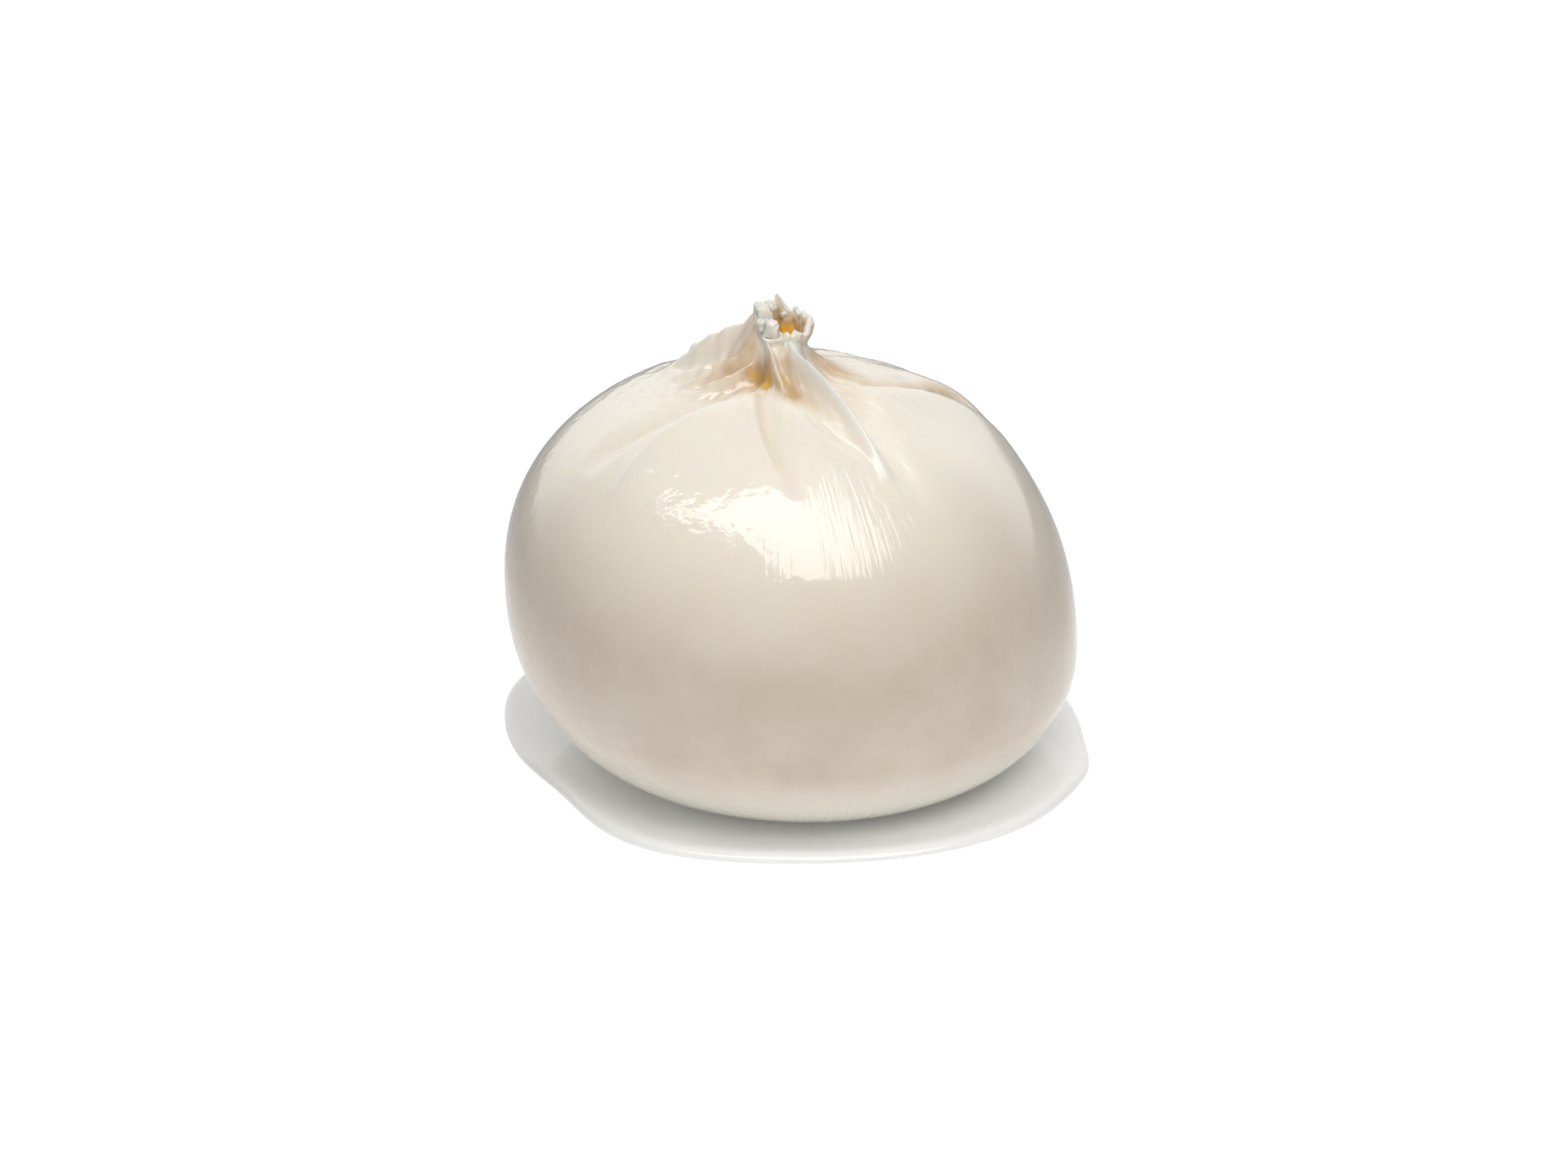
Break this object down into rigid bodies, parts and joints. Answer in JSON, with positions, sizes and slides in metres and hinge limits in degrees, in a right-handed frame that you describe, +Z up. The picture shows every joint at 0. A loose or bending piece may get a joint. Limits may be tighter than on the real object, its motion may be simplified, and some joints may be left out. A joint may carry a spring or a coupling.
{
  "type": "burrata",
  "caption": "Round burrata cheese: a soft pouch of stretched curd, pleated and pinched into a torn knot at the top, in a shallow pool of its own whey.",
  "frame": {"origin": "on the surface the cheese stands on, under the middle of the pouch's belly", "axes": "+Z up through the knot, -Y towards the front with the fold that runs down from the knot, +X to the right"},
  "size_m": [0.0956, 0.092, 0.0766],
  "materials": {
    "curd": "moist, glossy, faintly fibrous ivory curd",
    "whey": "wet, milky, translucent liquid"
  },
  "bodies": {
    "root": {"burrata_pouch": "curd", "whey_pool": "whey"}
  },
  "joints": []
}
